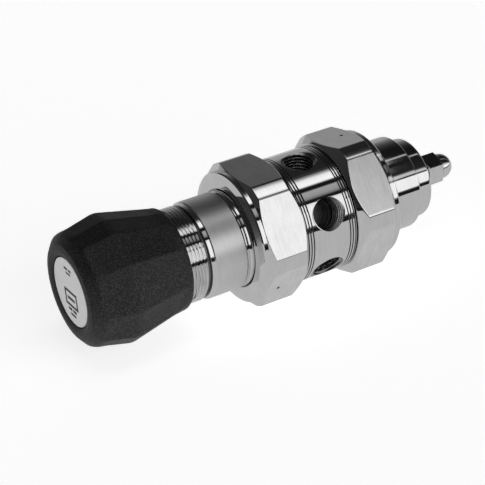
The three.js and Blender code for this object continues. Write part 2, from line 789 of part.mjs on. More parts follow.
function knobGeometry() {
  const facetsPerFace = [4, 2, 2];
  const facets = knobLobes * facetsPerFace.reduce((sum, n) => sum + n, 0);
  const geometry = turned(knobOutline(), SECOND, facets);
  const edges = knobFaceEdges();
  const clocks = [];
  edges.forEach((edge, i) => {
    const next = i + 1 < edges.length ? edges[i + 1] : edges[0] + 360;
    const steps = facetsPerFace[i % facetsPerFace.length];
    for (let k = 0; k < steps; k += 1) {
      const middle = (edge + next) / 2;
      const clock = edge + ((next - edge) * k) / steps;
      const chord = Math.cos(((next - edge) / 2) * DEGREE) / Math.cos((clock - middle) * DEGREE);
      clocks.push({ clock, chord });
    }
  });
  const position = geometry.attributes.position;
  for (let i = 0; i < position.count; i += 1) {
    const reach = -position.getX(i);
    const y = position.getY(i);
    const z = position.getZ(i);
    const radius = Math.hypot(y, z);
    const step = Math.round((Math.atan2(-y, z) / (2 * Math.PI)) * facets);
    const { clock, chord } = clocks[((step % facets) + facets) % facets];
    const outside = radius > knobRearRadius && reach < knobFrontReach - 1;
    const strength = outside ? knobFaceStrength(reach) * knobFaceFlatness : 0;
    const shaped = radius * (1 - strength * (1 - chord));
    position.setXYZ(i, -reach, -shaped * Math.sin(clock * DEGREE), shaped * Math.cos(clock * DEGREE));
  }
  geometry.computeVertexNormals();
  return geometry;
}

add("knob", knobGeometry(), blackPlastic);

add(
  "knob_label_disc",
  ring(labelReach - labelThickness, labelReach, 0, labelRadius, SECOND, ROUND),
  silverLabel,
);

const screwHoleRadius = knobScrewRadius + TOUCH_GAP;

add(
  "knob_insert",
  ring(insertRearReach, insertFrontReach, stemRadius + TOUCH_GAP, insertRadius, SECOND, SMALL),
  brass,
);

const stemOutline = [
  [stemTipReach, 0],
  [stemTipReach, stemRadius - EDGE],
  [stemTipReach + EDGE, stemRadius],
  [insertFrontReach, stemRadius],
  [insertFrontReach, screwHoleRadius],
  [insertFrontReach - knobScrewLength - 1, screwHoleRadius],
  [insertFrontReach - knobScrewLength - 1, 0],
];

add("adjusting_screw", turned(stemOutline, SECOND), brushedSteel);

const screwHeadFloorReach = screwHeadRearReach + TOUCH_GAP;
const screwHeadFrontReach = screwHeadFloorReach + knobScrewHeadHeight;
const knobScrewOutline = [
  [insertFrontReach - knobScrewLength, 0],
  [insertFrontReach - knobScrewLength, knobScrewRadius],
  [screwHeadFloorReach, knobScrewRadius],
  [screwHeadFloorReach, knobScrewHeadRadius],
  [screwHeadFrontReach, knobScrewHeadRadius],
  [screwHeadFrontReach, knobScrewSocketRadius],
  [screwHeadFrontReach - knobScrewSocketDepth, knobScrewSocketRadius],
  [screwHeadFrontReach - knobScrewSocketDepth, 0],
];

add("knob_screw", turned(knobScrewOutline, SECOND), springSteel);

const ball = new THREE.SphereGeometry(thrustBallRadius, 12, 8);
ball.translate(SECOND * ballReach, 0, 0);
add("thrust_ball", ball, polishedSteel);

// ---------------------------------------------------------------- preset screw and its nuts on the first stage

const presetScrewOutline = [
  [presetScrewTipReach, 0],
  [presetScrewTipReach, presetScrewRadius - EDGE],
  [presetScrewTipReach + EDGE, presetScrewRadius],
  [presetScrewEndReach, presetScrewRadius],
  [presetScrewEndReach, 0],
];

add("preset_screw", turned(presetScrewOutline, FIRST), brushedSteel);

add(
  "seal_washer",
  ring(sealWasherReach, sealWasherReach + sealWasherThickness, presetScrewHole, sealWasherRadius, FIRST),
  blackRubber,
);

const hexCornerRadius = acornAcrossFlats / 2 / Math.cos(30 * DEGREE);

function jamNutGeometry() {
  const end = jamNutReach + jamNutThickness;
  const blank = ring(jamNutReach, end, presetScrewHole, hexCornerRadius, FIRST, SMALL * 2);
  const flats = hexPrism(jamNutReach - 1, end + 1, acornAcrossFlats, acornClock, FIRST);
  return intersected(blank, flats);
}

add("jam_nut", jamNutGeometry(), polishedSteel);

function acornNutGeometry() {
  const hexEnd = acornReach + acornHexLength;
  const domeCentre = acornEndReach - acornDomeRadius;
  const holeEnd = presetScrewEndReach + TOUCH_GAP;
  const outline = [
    [holeEnd, 0],
    [holeEnd, presetScrewHole],
    [acornReach, presetScrewHole],
    [acornReach, hexCornerRadius - EDGE],
    [acornReach + EDGE, hexCornerRadius],
    [hexEnd - EDGE, hexCornerRadius],
    [hexEnd, acornDomeRadius],
  ];
  const domeSteps = 6;
  for (let i = 0; i < domeSteps; i += 1) {
    const angle = (90 * i * DEGREE) / domeSteps;
    const reach = domeCentre + acornDomeRadius * Math.sin(angle);
    outline.push([reach, acornDomeRadius * Math.cos(angle)]);
  }
  outline.push([acornEndReach, 0]);
  const blank = turned(outline);
  const flats = hexPrism(acornReach - 1, acornEndReach + 1, acornAcrossFlats, acornClock, FIRST);
  return intersected(blank, flats);
}

add("acorn_nut", acornNutGeometry(), polishedSteel);

export default regulator;
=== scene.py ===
"""Looks of a two-stage gas pressure regulator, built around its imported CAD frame."""
import json
import math

import bmesh
import bpy
import numpy as np
from mathutils import Euler, Matrix, Vector


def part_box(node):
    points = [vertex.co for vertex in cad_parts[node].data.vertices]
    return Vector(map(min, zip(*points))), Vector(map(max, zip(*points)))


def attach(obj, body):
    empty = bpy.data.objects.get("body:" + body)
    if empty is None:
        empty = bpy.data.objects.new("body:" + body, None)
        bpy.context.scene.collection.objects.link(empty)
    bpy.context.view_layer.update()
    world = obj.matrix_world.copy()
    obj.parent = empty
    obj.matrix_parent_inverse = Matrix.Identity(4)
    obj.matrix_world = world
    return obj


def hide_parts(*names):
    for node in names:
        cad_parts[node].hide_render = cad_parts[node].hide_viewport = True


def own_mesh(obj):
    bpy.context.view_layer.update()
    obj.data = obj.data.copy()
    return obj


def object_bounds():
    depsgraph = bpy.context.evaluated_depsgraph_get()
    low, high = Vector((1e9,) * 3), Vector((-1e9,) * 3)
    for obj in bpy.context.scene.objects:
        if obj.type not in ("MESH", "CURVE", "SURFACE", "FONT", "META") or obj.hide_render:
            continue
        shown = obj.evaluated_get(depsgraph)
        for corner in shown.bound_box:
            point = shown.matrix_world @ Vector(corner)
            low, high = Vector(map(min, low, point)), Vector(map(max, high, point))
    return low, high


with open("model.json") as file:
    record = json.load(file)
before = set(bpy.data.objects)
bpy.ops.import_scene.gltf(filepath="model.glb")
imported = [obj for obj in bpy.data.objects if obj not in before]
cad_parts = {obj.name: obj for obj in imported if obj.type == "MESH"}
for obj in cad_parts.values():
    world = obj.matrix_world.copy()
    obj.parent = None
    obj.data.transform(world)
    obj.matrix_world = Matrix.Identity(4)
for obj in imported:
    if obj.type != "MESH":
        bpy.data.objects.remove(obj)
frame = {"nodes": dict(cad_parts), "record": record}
cad_box = [list(corner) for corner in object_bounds()]

MM = 0.001
SECOND = -1  # the knob's side of the body's mid-plane
FIRST = 1  # the acorn nut's side
ROUND = 256  # steps round a large turned piece
PITCH = 25.4 / 18  # of the panel thread and the pipe threads, in millimetres

# ---------------------------------------------------------------- stage


def add_camera():
    """A long lens above the knob's end, rolled a little so that the regulator runs up to the right."""
    azimuth, elevation, roll = math.radians(-28.43), math.radians(27.43), math.radians(-5.04)
    aim = Vector((-11.0, 3.7, -6.1)) * MM
    distance = 632.6 * MM
    data = bpy.data.cameras.new("camera")
    data.sensor_width = 36
    data.lens = 118.5
    camera = bpy.data.objects.new("camera", data)
    bpy.context.scene.collection.objects.link(camera)
    turn = Euler((math.pi / 2 - elevation, 0, azimuth)).to_matrix() @ Matrix.Rotation(roll, 3, "Z")
    back = turn @ Vector((0, 0, 1))
    camera.matrix_world = Matrix.Translation(aim + distance * back) @ turn.to_4x4()
    bpy.context.scene.camera = camera


# The studio's soft strips and dark gaps all run along X: (clock angle from +Z towards -Y, brightness).
BACK = (
    (-180, 0.56), (-112, 0.56), (-97, 0.42), (-85, 0.38), (-73, 0.37), (-61, 0.17), (-49, 0.07), (-37, 0.025),
)
FRONT = ((87.5, 1.12), (89.5, 0.03), (99, 0.03), (101.5, 0.56), (180, 0.56))
STUDIO = (
    *BACK, (-25, 0.02), (-10, 0.02), (-4, 0.05), (0, 0.4), (5, 1.1), (14, 1.25), (16.5, 1.0),
    (18.6, 0.01), (26, 0.01), (27.5, 0.45), (37, 0.36), (41.5, 0.18), (43, 0.01), (48.2, 0.01),
    (49.0, 1.0), (57, 1.15), *FRONT,
)
# What the pieces at the acorn nut's end mirror, past the end of the overhead strip.
STUDIO_END = (
    *BACK, (-25, 0.01), (2, 0.01), (3.5, 0.5), (6, 0.5), (7.5, 0.01), (45, 0.02), (49, 0.1),
    (51, 0.65), (57, 0.65), (57.8, 0.0), (60.6, 0.0), (61.5, 1.15), *FRONT,
)
# What faces turned towards the knob mirror: the studio's dark end.
STUDIO_DARK = (
    (-180, 0.56), (-95, 0.4), (-86, 0.3), (-80, 0.04), (80, 0.02), (99, 0.03), (101.5, 0.4), (180, 0.56),
)
STUDIO_PEAK = 1.4  # over the brightest strip, so that every colour stays under 1
KNOB_BLEND = (-0.28, -0.2)  # where the dark end gives way to the strips, in the direction's X
END_BLEND = (0.504, 0.514)  # and where the strips give way to the acorn nut's end


def add_studio():
    """Strip lights all round, as a background that depends on the direction about X."""
    world = bpy.data.worlds.new("studio")
    world.use_nodes = True
    tree = world.node_tree
    coordinates = tree.nodes.new("ShaderNodeTexCoord")
    parts = tree.nodes.new("ShaderNodeSeparateXYZ")
    tree.links.new(coordinates.outputs["Generated"], parts.inputs[0])
    minus_y = math_node(tree, "MULTIPLY", parts.outputs["Y"], -1.0)
    angle = math_node(tree, "ARCTAN2", minus_y, parts.outputs["Z"])
    share = math_node(tree, "MULTIPLY_ADD", angle, 1 / (2 * math.pi), 0.5)
    looks = []
    for strips in (STUDIO_DARK, STUDIO, STUDIO_END):
        stops = [((a + 180) / 360, (v / STUDIO_PEAK,) * 3) for a, v in strips]
        looks.append(ramp(tree, share, stops))
    along = parts.outputs["X"]
    near_knob = blended(tree, along, KNOB_BLEND, looks[0], looks[1])
    everywhere = blended(tree, along, END_BLEND, near_knob, looks[2])
    background = tree.nodes["Background"]
    background.inputs["Strength"].default_value = STUDIO_PEAK
    tree.links.new(everywhere, background.inputs["Color"])
    bpy.context.scene.world = world


def add_floor():
    low = Vector(cad_box[0])
    floor = mesh_object("floor", plate_mesh("floor", 4.0, 4.0))
    floor.location = (0, 0, low.z)
    paint(floor, floor_material())


def add_card(name, width, near, far, height, glow):
    """A card over the floor that only reflections see."""
    card = mesh_object(name, plate_mesh(name, width, far - near))
    card.location = (0, (near + far) / 2, cad_box[0][2] + height)
    card.visible_camera = False
    card.visible_diffuse = False
    card.visible_shadow = False
    look = plain_material(name, 0.0, 1.0)
    shader = look.node_tree.nodes["Principled BSDF"]
    shader.inputs["Specular IOR Level"].default_value = 0.0
    shader.inputs["Emission Color"].default_value = (1, 1, 1, 1)
    shader.inputs["Emission Strength"].default_value = glow
    paint(card, look)


# ---------------------------------------------------------------- node helpers


def math_node(tree, operation, *values):
    node = tree.nodes.new("ShaderNodeMath")
    node.operation = operation
    for socket, value in zip(node.inputs, values):
        feed(tree, socket, value)
    return node.outputs[0]


def feed(tree, socket, value):
    """Links an output to a socket, or sets a plain value on it."""
    if isinstance(value, bpy.types.NodeSocket):
        tree.links.new(value, socket)
    else:
        socket.default_value = value


def ramp(tree, factor, stops):
    node = tree.nodes.new("ShaderNodeValToRGB")
    elements = node.color_ramp.elements
    elements[0].position, elements[0].color = stops[0][0], (*stops[0][1], 1)
    elements[1].position, elements[1].color = stops[-1][0], (*stops[-1][1], 1)
    for position, colour in stops[1:-1]:
        elements.new(position).color = (*colour, 1)
    tree.links.new(factor, node.inputs["Fac"])
    return node.outputs["Color"]


def noise(tree, vector, scale, detail=2.0, roughness=0.5):
    node = tree.nodes.new("ShaderNodeTexNoise")
    tree.links.new(vector, node.inputs["Vector"])
    node.inputs["Scale"].default_value = scale
    node.inputs["Detail"].default_value = detail
    node.inputs["Roughness"].default_value = roughness
    return node.outputs["Fac"]


def stretched(tree, along, across):
    """Object coordinates scaled by one number along X and another across it."""
    coordinates = tree.nodes.new("ShaderNodeTexCoord")
    mapping = tree.nodes.new("ShaderNodeMapping")
    mapping.inputs["Scale"].default_value = (along, across, across)
    tree.links.new(coordinates.outputs["Object"], mapping.inputs["Vector"])
    return mapping.outputs["Vector"]


def between(tree, factor, low, high):
    node = tree.nodes.new("ShaderNodeMapRange")
    node.inputs["To Min"].default_value = low
    node.inputs["To Max"].default_value = high
    tree.links.new(factor, node.inputs["Value"])
    return node.outputs["Result"]


def blended(tree, value, limits, below, above):
    """One colour below the limits, another above them, and a blend in between."""
    share = tree.nodes.new("ShaderNodeMapRange")
    share.inputs["From Min"].default_value, share.inputs["From Max"].default_value = limits
    tree.links.new(value, share.inputs["Value"])
    mix = tree.nodes.new("ShaderNodeMix")
    mix.data_type = "RGBA"
    tree.links.new(share.outputs["Result"], mix.inputs["Factor"])
    colour_a, colour_b, colour_result = 6, 7, 2  # places of the colour sockets among all of the node's
    tree.links.new(below, mix.inputs[colour_a])
    tree.links.new(above, mix.inputs[colour_b])
    return mix.outputs[colour_result]


def bumped(tree, height, distance, strength):
    node = tree.nodes.new("ShaderNodeBump")
    node.inputs["Strength"].default_value = strength
    node.inputs["Distance"].default_value = distance
    tree.links.new(height, node.inputs["Height"])
    return node.outputs["Normal"]


def new_material(name):
    material = bpy.data.materials.new(name)
    material.use_nodes = True
    return material, material.node_tree, material.node_tree.nodes["Principled BSDF"]


# ---------------------------------------------------------------- materials


def plain_material(name, grey, roughness):
    material, _, shader = new_material(name)
    shader.inputs["Base Color"].default_value = (grey, grey, grey, 1)
    shader.inputs["Roughness"].default_value = roughness
    return material


def floor_material():
    material = plain_material("floor", 0.86, 0.9)
    shader = material.node_tree.nodes["Principled BSDF"]
    shader.inputs["Specular IOR Level"].default_value = 0.1
    shader.inputs["Emission Color"].default_value = (1, 1, 1, 1)
    shader.inputs["Emission Strength"].default_value = 0.78
    return material


def turned_metal(name, dark, light, smooth, rough, line_depth, tint=(1, 1, 1)):
    """Metal with fine lines round X, as a lathe or a belt leaves them, and faint blotches of wear."""
    material, tree, shader = new_material(name)
    shader.inputs["Metallic"].default_value = 1.0
    lines = noise(tree, stretched(tree, 1.0, 0.02), 5200, 3.0, 0.7)
    broad = noise(tree, stretched(tree, 1.0, 0.12), 900, 2.0)
    blotches = noise(tree, stretched(tree, 1.0, 1.0), 130, 4.0, 0.6)
    grain = math_node(tree, "MULTIPLY_ADD", lines, 0.6, math_node(tree, "MULTIPLY", broad, 0.4))
    wear = math_node(tree, "MULTIPLY_ADD", blotches, 0.35, math_node(tree, "MULTIPLY", grain, 0.65))
    low = [dark * t for t in tint]
    high = [light * t for t in tint]
    feed(tree, shader.inputs["Base Color"], ramp(tree, wear, [(0.3, low), (0.7, high)]))
    feed(tree, shader.inputs["Roughness"], between(tree, wear, smooth, rough))
    feed(tree, shader.inputs["Normal"], bumped(tree, grain, line_depth * MM, 0.6))
    return material


def moulded_plastic(name, grey, roughness):
    """Black plastic with the fine pebble of a spark-eroded mould and a few rubbed places."""
    material, tree, shader = new_material(name)
    place = stretched(tree, 1.0, 1.0)
    pebble = noise(tree, place, 1700, 2.0, 0.6)
    rubbed = noise(tree, place, 60, 3.0, 0.6)
    low, high = (grey * 0.6,) * 3, (grey * 3.4,) * 3
    feed(tree, shader.inputs["Base Color"], ramp(tree, pebble, [(0.46, low), (0.66, high)]))
    feed(tree, shader.inputs["Roughness"], between(tree, rubbed, roughness - 0.07, roughness + 0.1))
    feed(tree, shader.inputs["Normal"], bumped(tree, pebble, 0.05 * MM, 0.45))
    shader.inputs["Specular IOR Level"].default_value = 0.34
    return material


def satin_disc(name):
    material, tree, shader = new_material(name)
    shader.inputs["Metallic"].default_value = 0.5
    grain = noise(tree, stretched(tree, 1.0, 1.0), 1800, 3.0, 0.7)
    feed(tree, shader.inputs["Base Color"], ramp(tree, grain, [(0.3, (0.86,) * 3), (0.75, (0.96,) * 3)]))
    feed(tree, shader.inputs["Roughness"], between(tree, grain, 0.3, 0.48))
    return material


def soft_solid(name, colour, roughness, scale):
    """Rubber, hard polymer or sintered metal: one colour, broken up by grain."""
    material, tree, shader = new_material(name)
    grain = noise(tree, stretched(tree, 1.0, 1.0), scale, 4.0, 0.65)
    low = [0.75 * c for c in colour]
    feed(tree, shader.inputs["Base Color"], ramp(tree, grain, [(0.3, low), (0.7, colour)]))
    feed(tree, shader.inputs["Roughness"], between(tree, grain, roughness - 0.1, roughness + 0.1))
    feed(tree, shader.inputs["Normal"], bumped(tree, grain, 0.06 * MM, 0.5))
    return material


def make_materials():
    return {
        "polished_steel": turned_metal("polished_steel", 0.68, 0.8, 0.015, 0.07, 0.0005),
        "brushed_steel": turned_metal("brushed_steel", 0.66, 0.88, 0.16, 0.28, 0.009),
        "satin_steel": turned_metal("satin_steel", 0.6, 0.74, 0.34, 0.48, 0.004),
        # darker than the body's steel: painted shade for the ports' and passages' walls and the bonnet's
        # thread relief
        "painted_shade_steel": turned_metal("painted_shade_steel", 0.3, 0.36, 0.2, 0.28, 0.0002),
        # lighter than the body's steel: a painted highlight near a port's mouth
        "painted_highlight_bore": turned_metal("painted_highlight_bore", 0.8, 0.9, 0.22, 0.3, 0.0002),
        # near black: painted shade in the body's turned grooves, the vent holes and the lit port's floor
        "painted_deep_shade_steel": turned_metal("painted_deep_shade_steel", 0.05, 0.12, 0.3, 0.5, 0.002),
        "spring_steel": turned_metal("spring_steel", 0.38, 0.5, 0.2, 0.4, 0.003),
        "brass": turned_metal("brass", 0.6, 0.8, 0.15, 0.35, 0.003, (1.0, 0.8, 0.42)),
        "black_plastic": moulded_plastic("black_plastic", 0.013, 0.5),
        "silver_label": satin_disc("silver_label"),
        "seat_polymer": soft_solid("seat_polymer", (0.82, 0.77, 0.64), 0.5, 900),
        "black_rubber": soft_solid("black_rubber", (0.02, 0.02, 0.02), 0.7, 1500),
        "sintered_steel": soft_solid("sintered_steel", (0.45, 0.44, 0.42), 0.75, 2600),
    }


# ---------------------------------------------------------------- mesh helpers


def mesh_object(name, mesh):
    piece = bpy.data.objects.new(name, mesh)
    bpy.context.scene.collection.objects.link(piece)
    return piece


def plate_mesh(name, width, depth):
    x, y = width / 2, depth / 2
    mesh = bpy.data.meshes.new(name)
    mesh.from_pydata([(-x, -y, 0), (x, -y, 0), (x, y, 0), (-x, y, 0)], [], [(0, 1, 2, 3)])
    return mesh


def paint(piece, *looks):
    """Puts the materials in the piece's slots and keeps which face uses which slot."""
    slots = piece.data.materials
    for i, look in enumerate(looks):
        if i < len(slots):
            slots[i] = look
        else:
            slots.append(look)


def rounded(outline, radius=0.12, steps=4, closed=True):
    """Rounds an outline's corners; a point's third number is its own radius."""
    points = []
    count = len(outline)
    for i, point in enumerate(outline):
        here = np.array(point[:2], float)
        size = point[2] if len(point) > 2 else radius
        at_end = not closed and i in (0, count - 1)
        if at_end or size == 0:
            points.append(tuple(here))
            continue
        before = np.array(outline[i - 1][:2], float) - here
        after = np.array(outline[(i + 1) % count][:2], float) - here
        reach_before, reach_after = np.linalg.norm(before), np.linalg.norm(after)
        before, after = before / reach_before, after / reach_after
        half = math.acos(max(-1.0, min(1.0, float(before @ after)))) / 2
        if half > math.radians(88):
            points.append(tuple(here))
            continue
        cut = min(size / math.tan(half), 0.48 * reach_before, 0.48 * reach_after)
        for k in range(steps + 1):
            t = k / steps
            points.append(tuple(here + cut * (before * (1 - t) ** 2 + after * t**2)))
    return points


def spaced(outline, step, closed=True):
    """Adds points so that no stretch of the outline is longer than step."""
    points = []
    count = len(outline)
    for i, (x, r) in enumerate(outline):
        points.append((x, r))
        if i == count - 1 and not closed:
            break
        next_x, next_r = outline[(i + 1) % count]
        parts = math.ceil(math.hypot(next_x - x, next_r - r) / step)
        for k in range(1, parts):
            points.append((x + (next_x - x) * k / parts, r + (next_r - r) * k / parts))
    return points


def revolve(name, outline, side, steps=ROUND, shape=None, first_clock=0.0):
    """A closed solid of revolution about X. An outline of (reach, radius) points, in millimetres from
    the body's mid-plane, closes on itself or starts and ends on the axis. shape(reach, radius, clock)
    gives each point's own radius and whether the second material covers it."""
    on_axis = outline[0][1] == 0
    clocks = np.radians(first_clock + 360 * np.arange(steps) / steps)
    vertices, covered, rings = [], [], []
    for reach, radius in outline:
        start = len(vertices)
        if radius == 0:
            vertices.append(axial_point(side, reach, 0, 0))
            covered.append(False)
            rings.append([start] * steps)
            continue
        radii, cover = np.full(steps, float(radius)), np.zeros(steps, bool)
        if shape:
            radii, cover = shape(reach, radii, clocks)
        vertices += [axial_point(side, reach, r, c) for r, c in zip(radii, clocks)]
        covered += list(cover)
        rings.append(list(range(start, start + steps)))
    faces, looks = [], []
    pairs = list(zip(rings, rings[1:])) + ([] if on_axis else [(rings[-1], rings[0])])
    for one, two in pairs:
        for k in range(steps):
            corners = [one[k], two[k], two[(k + 1) % steps], one[(k + 1) % steps]]
            face = list(dict.fromkeys(corners))
            faces.append(face)
            looks.append(int(all(covered[v] for v in face)))
    mesh = bpy.data.meshes.new(name)
    mesh.from_pydata(vertices, [], faces)
    mesh.polygons.foreach_set("material_index", looks)
    face_out(mesh)
    return mesh_object(name, mesh)


def axial_point(side, reach, radius, clock):
    """A point at a reach from the body's mid-plane, a radius and a clock angle, in metres."""
    return (
        mid_x + side * reach * MM,
        -radius * math.sin(clock) * MM,
        radius * math.cos(clock) * MM,
    )


def face_out(mesh):
    work = bmesh.new()
    work.from_mesh(mesh)
    bmesh.ops.recalc_face_normals(work, faces=work.faces)
    work.to_mesh(mesh)
    work.free()


def smooth(piece, angle=35):
    """Smooth shading that keeps flat faces flat and edges over the angle sharp."""
    piece.data.shade_smooth()
    piece.data.set_sharp_from_angle(angle=math.radians(angle))
    weighted = piece.modifiers.new("even_normals", "WEIGHTED_NORMAL")
    weighted.keep_sharp = True


def apply_modifiers(piece):
    depsgraph = bpy.context.evaluated_depsgraph_get()
    mesh = bpy.data.meshes.new_from_object(piece.evaluated_get(depsgraph))
    piece.modifiers.clear()
    piece.data = mesh


def drill(piece, cutters, *looks):
    """Cuts the cutters out of the piece, paints the cut faces and removes the cutters."""
    for cutter in cutters:
        paint(cutter, *[materials[look] for look in looks])
        cut = piece.modifiers.new("cut", "BOOLEAN")
        cut.operation = "DIFFERENCE"
        cut.solver = "EXACT"
        cut.material_mode = "TRANSFER"
        cut.object = cutter
    apply_modifiers(piece)
    for cutter in cutters:
        bpy.data.objects.remove(cutter)


def cover(piece, near, far, inside, outside, slot=1, side=FIRST):
    """Puts the faces between two reaches and two radii in another of the piece's slots."""
    for face in piece.data.polygons:
        reach = side * (face.center.x - mid_x) / MM
        radius = math.hypot(face.center.y, face.center.z) / MM
        if near < reach < far and inside < radius < outside:
            face.material_index = slot


def thread_form(phase):
    """Height of a 60 degree thread with flattened crests and roots, from 0 at its root to 1."""
    triangle = 1 - np.abs(2 * (phase % 1.0) - 1)
    return np.clip((triangle - 0.12) / 0.72, 0, 1)


def radial_solid(name, stations, clock, x=0.0, steps=64, thread=0.0):
    """A round solid that points away from X at a clock angle, with (distance, radius) stations in
    millimetres and a right-hand thread of that depth on it."""
    turn = Matrix.Rotation(math.radians(clock), 4, "X") @ Matrix.Translation((mid_x + x * MM, 0, 0))
    angles = 2 * math.pi * np.arange(steps) / steps
    work = bmesh.new()
    rings = []
    for distance, radius, depth in stations:
        form = thread_form(distance / PITCH - angles / (2 * math.pi))
        radii = radius - thread * depth * (1 - form)
        points = [(r * MM * math.cos(a), r * MM * math.sin(a), distance * MM) for r, a in zip(radii, angles)]
        rings.append([work.verts.new(turn @ Vector(p)) for p in points])
    for one, two in zip(rings, rings[1:]):
        for k in range(steps):
            work.faces.new((one[k], one[(k + 1) % steps], two[(k + 1) % steps], two[k]))
    work.faces.new(rings[0][::-1])
    work.faces.new(rings[-1])
    mesh = bpy.data.meshes.new(name)
    bmesh.ops.recalc_face_normals(work, faces=work.faces)
    work.to_mesh(mesh)
    work.free()
    return mesh_object(name, mesh)


def span(node):
    """How near to and far from the body's mid-plane a CAD node reaches, in millimetres."""
    low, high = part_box(node)
    ends = sorted((abs(low.x - mid_x) / MM, abs(high.x - mid_x) / MM))
    return ends[0], ends[1]


def finish_piece(piece, node, body, slot, *looks):
    paint(piece, *[materials[look] for look in looks])
    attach(piece, body)
    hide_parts(node)


def smooth_least(a, b, blend):
    """The smaller of two values, with the step between them rounded over a blend width."""
    overlap = np.clip(blend - np.abs(a - b), 0, None) / blend
    return np.minimum(a, b) - overlap**2 * blend / 4


def six_flats(across, corner_clock, blend):
    """A shape function that cuts six flats, with one corner at the clock angle."""
    flat = across / 2

    def shape(reach, radii, clocks):
        away = (np.degrees(clocks) - corner_clock) % 60 - 30
        hexagon = flat / np.cos(np.radians(away))
        covered = (hexagon < radii - blend) & (radii > flat)
        return np.where(radii > flat - 2 * blend, smooth_least(radii, hexagon, blend), radii), covered

    return shape


# ---------------------------------------------------------------- body with its four ports

PORT_CLOCKS = (-51.8, 8.2, 68.2, 128.2)  # inlet, high-pressure gauge, low-pressure gauge, outlet
BODY_RADIUS = 25.4
GROOVES = (8.4, 9.6, 10.8)  # fine turned grooves near each cap nut
PORT_THREADS = (0.95, 0.95, 0.3, 0.95)  # thread depth, shallow in the low-pressure gauge port
PORT_RADIUS = 6.85
PORT_FLOOR = 12.8
PAINTED_LIGHT_PORT = 2  # the low-pressure gauge port's place in these lists, the port whose wall is painted with light and shade
PAINTED_HIGHLIGHT_FROM = 21.0  # its wall gets a painted highlight beyond this distance from the axis
PAINTED_SHADE_WITHIN = 17.0  # and painted shade nearer than this


def grooved_band(end):
    """The body's exposed band, from its second-stage end to its first-stage end."""
    width, depth = 0.28, 0.3
    points = [(-end, BODY_RADIUS - 0.25, 0), (-end + 0.25, BODY_RADIUS)]
    marks = sorted([-g for g in GROOVES] + list(GROOVES))
    for mark in marks:
        points += [
            (mark - width, BODY_RADIUS, 0.06),
            (mark - width / 3, BODY_RADIUS - depth, 0.04),
            (mark + width / 3, BODY_RADIUS - depth, 0.04),
            (mark + width, BODY_RADIUS, 0.06),
        ]
    points += [(end - 0.25, BODY_RADIUS), (end, BODY_RADIUS - 0.25, 0)]
    return points


def port_cutter(clock, thread):
    """The hole of one port, with a thread of that depth and a chamfer at its mouth."""
    stations = [(PORT_FLOOR + 0.01, 4.6, 0), (PORT_FLOOR + 1.0, 5.7, 0), (PORT_FLOOR + 1.6, 5.7, 0)]
    thread_from, thread_to, steps = PORT_FLOOR + 2.4, BODY_RADIUS - 0.55, 92
    for k in range(steps + 1):
        distance = thread_from + (thread_to - thread_from) * k / steps
        taper = (thread_to - distance) / 32
        run_in = min(1.0, k / 10)
        stations.append((distance, PORT_RADIUS - taper, run_in))
    stations += [(BODY_RADIUS - 0.5, PORT_RADIUS, 0), (BODY_RADIUS + 1.0, PORT_RADIUS + 1.5, 0)]
    return radial_solid("port_cutter", stations, clock, steps=96, thread=thread)


def paint_light_and_shade_by_depth(cutter):
    """Puts the outer part of a port's wall in the slot of the painted highlight and the part near its floor in
    the slot of the painted shade.
    """
    for face in cutter.data.polygons:
        distance = math.hypot(face.center.y, face.center.z) / MM
        if distance > PAINTED_HIGHLIGHT_FROM:
            face.material_index = 1
        elif distance < PAINTED_SHADE_WITHIN:
            face.material_index = 2


def make_body():
    _, face = span("body")
    band_end = 11.5
    thread_radius, chamber_radius, pocket_radius, bore_radius = 22.5, 16.5, 8.0, 5.5
    end = [
        (1.5, 0, 0), (1.5, bore_radius), (16.9, bore_radius), (16.9, pocket_radius),
        (face - 1.2, pocket_radius), (face - 1.2, chamber_radius), (face, chamber_radius),
        (face, thread_radius), (band_end, thread_radius),
    ]
    second_end = [(-point[0], *point[1:]) for point in end]
    outline = second_end + grooved_band(band_end) + end[::-1]
    body = revolve("regulator_body", rounded(outline, 0.15, closed=False), FIRST)
    cutters = [port_cutter(clock, depth) for clock, depth in zip(PORT_CLOCKS, PORT_THREADS)]
    # the low-pressure gauge port's wall gets a painted highlight near its mouth and painted shade near its
    # floor
    paint_light_and_shade_by_depth(cutters[PAINTED_LIGHT_PORT])
    passage = 1.1
    for clock in PORT_CLOCKS[:2]:
        hole = [(bore_radius - 1, passage, 0), (PORT_FLOOR + 2, passage, 0)]
        cutters.append(radial_solid("passage", hole, clock, x=2.9, steps=24))
    paint(body, materials["polished_steel"], materials["painted_deep_shade_steel"])
    # the turned grooves get the near-black steel as painted shade
    cover(body, -11, 11, BODY_RADIUS - 1, BODY_RADIUS - 0.06)
    # the cut walls of the ports and passages get the darker steel as painted shade
    drill(body, cutters, "painted_shade_steel", "painted_highlight_bore", "painted_deep_shade_steel")
    smooth(body, 28)
    finish_piece(body, "body", "root", "polished_steel")


def make_filter():
    near, radius, edge = PORT_FLOOR + 0.3, 5.4, 5.2
    stations = [(near, edge, 0), (near + 0.1, radius, 0), (near + 1.5, radius, 0), (near + 1.6, edge, 0)]
    disc = radial_solid("sintered_filter", stations, PORT_CLOCKS[0], steps=96)
    smooth(disc)
    finish_piece(disc, "inlet_filter", "root", "sintered_steel", "sintered_steel")


# ---------------------------------------------------------------- cap nuts

LAND_RADIUS = 29.4
ACROSS_FLATS = 53.7
NUT_TWIST = 4.65
NUT_BORE = 22.8
NUT_SHOULDER = 28.5
VENT_RADIUS = 0.7
VENT_REACH = 24.05


